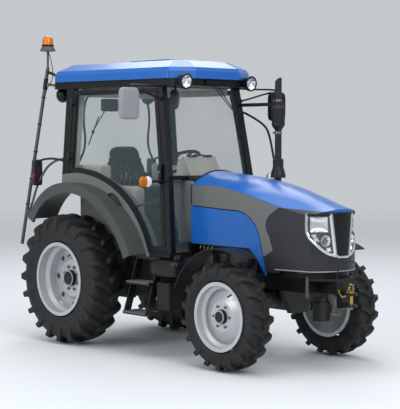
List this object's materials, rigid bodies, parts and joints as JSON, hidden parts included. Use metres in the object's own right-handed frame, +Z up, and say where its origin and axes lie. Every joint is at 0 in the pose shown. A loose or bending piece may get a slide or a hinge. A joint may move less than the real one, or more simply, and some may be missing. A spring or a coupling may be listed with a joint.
{
  "type": "compact cab tractor",
  "caption": "Compact four-wheel-drive tractor with a glazed cab, sloping hood, lugged tyres, exhaust stack, beacon and rear three-point hitch; it pulls and carries farm implements.",
  "frame": {"origin": "on the ground, under the middle of the tractor's overall length and width", "axes": "+X forward, +Y to the driver's left, +Z up"},
  "size_m": [3.6899, 1.9, 2.7496],
  "materials": {
    "blue_paint": "gloss",
    "band_gray": "satin",
    "charcoal": "satin",
    "fender_gray": "matte",
    "black_plastic": "matte",
    "frame_black": "satin",
    "cast_black": "rough",
    "rim_silver": "satin",
    "tyre": "matte",
    "cab_glass": "clear",
    "interior_gray": "matte",
    "seat_cloth": "woven",
    "lamp_lens": "clear",
    "amber_lens": "clear tint",
    "zinc": "yellow zinc",
    "dull_steel": "dull"
  },
  "bodies": {
    "chassis": {"front_frame": "frame_black", "engine": "cast_black", "gearbox": "cast_black", "rear_axle": "cast_black", "front_axle": "cast_black", "tow_pin": "zinc", "drawbar": "frame_black", "side_tanks": "black_plastic", "steps": "frame_black", "side_panels": "blue_paint", "exhaust_stack": "frame_black", "cab_floor": "black_plastic", "front_pillars": "frame_black", "rear_pillars": "frame_black", "roof_liner": "black_plastic", "cab_roof": "blue_paint", "windscreen": "cab_glass", "lower_panes": "cab_glass", "rear_window": "cab_glass", "rear_wall": "frame_black", "bulkhead": "black_plastic", "dash": "interior_gray", "steering_wheel": "black_plastic", "seat_base": "black_plastic", "seat_cushion": "seat_cloth", "seat_back": "seat_cloth", "rear_fenders": "fender_gray", "wheel_arches": "fender_gray", "mirrors": "black_plastic", "signal_lamps": "amber_lens", "work_lamps": "lamp_lens", "beacon_pole": "frame_black", "beacon": "amber_lens"},
    "hood_body": {"hood": "blue_paint", "hood_bands": "band_gray", "nose_panel": "charcoal", "headlamps": "lamp_lens"},
    "link_body": {"lower_links": "frame_black"},
    "arm_body": {"lift_arms": "cast_black"},
    "rod_body": {"lift_rods": "dull_steel"},
    "door_right": {"door_frame_right": "frame_black", "door_glass_right": "cab_glass"},
    "steer_right": {"knuckle_right": "cast_black", "front_guard_right": "black_plastic"},
    "front_wheel_right": {"front_rim_right": "rim_silver", "front_tyre_right": "tyre"},
    "rear_wheel_right": {"rear_rim_right": "rim_silver", "rear_tyre_right": "tyre"},
    "door_left": {"door_frame_left": "frame_black", "door_glass_left": "cab_glass"},
    "steer_left": {"knuckle_left": "cast_black", "front_guard_left": "black_plastic"},
    "front_wheel_left": {"front_rim_left": "rim_silver", "front_tyre_left": "tyre"},
    "rear_wheel_left": {"rear_rim_left": "rim_silver", "rear_tyre_left": "tyre"}
  },
  "joints": [
    {"name": "rear_spin_right", "type": "hinge", "parent": "chassis", "child": "rear_wheel_right", "pos_m": [-0.945, -0.625, 0.578], "axis": [0, 1, 0], "continuous": true},
    {"name": "steer_right", "type": "hinge", "parent": "chassis", "child": "steer_right", "pos_m": [1.055, -0.47, 0.4], "axis": [0, 0, 1], "range_deg": [-35, 35]},
    {"name": "front_spin_right", "type": "hinge", "parent": "steer_right", "child": "front_wheel_right", "pos_m": [1.055, -0.615, 0.432], "axis": [0, 1, 0], "continuous": true},
    {"name": "door_swing_right", "type": "hinge", "parent": "chassis", "child": "door_right", "pos_m": [-0.96312, -0.63769, 1.64123], "axis": [0.0091, -0.0763, -0.997], "range_deg": [0, 75]},
    {"name": "rear_spin_left", "type": "hinge", "parent": "chassis", "child": "rear_wheel_left", "pos_m": [-0.945, 0.625, 0.578], "axis": [0, 1, 0], "continuous": true},
    {"name": "steer_left", "type": "hinge", "parent": "chassis", "child": "steer_left", "pos_m": [1.055, 0.47, 0.4], "axis": [0, 0, 1], "range_deg": [-35, 35]},
    {"name": "front_spin_left", "type": "hinge", "parent": "steer_left", "child": "front_wheel_left", "pos_m": [1.055, 0.615, 0.432], "axis": [0, 1, 0], "continuous": true},
    {"name": "door_swing_left", "type": "hinge", "parent": "chassis", "child": "door_left", "pos_m": [-0.96312, 0.63769, 1.64123], "axis": [-0.0091, -0.0763, 0.997], "range_deg": [0, 75]},
    {"name": "hood_lift", "type": "hinge", "parent": "chassis", "child": "hood_body", "pos_m": [0.323, 0, 1.49], "axis": [0, -1, 0], "range_deg": [0, 50]},
    {"name": "hitch_lift", "type": "hinge", "parent": "chassis", "child": "link_body", "pos_m": [-1.075, 0, 0.405], "axis": [0, 1, 0], "range_deg": [-14, 24]},
    {"name": "arm_lift", "type": "hinge", "parent": "chassis", "child": "arm_body", "pos_m": [-1.12, 0, 0.77], "axis": [0, 1, 0], "range_deg": [-18, 31]},
    {"name": "rod_swing", "type": "hinge", "parent": "arm_body", "child": "rod_body", "pos_m": [-1.39, 0, 0.785], "axis": [0, 1, 0], "range_deg": [-31, 18]}
  ],
  "couplings": [
    {"joint": "steer_left", "follows": "steer_right", "ratio": 1},
    {"joint": "arm_lift", "follows": "hitch_lift", "ratio": 1.259},
    {"joint": "rod_swing", "follows": "hitch_lift", "ratio": -1.259}
  ]
}
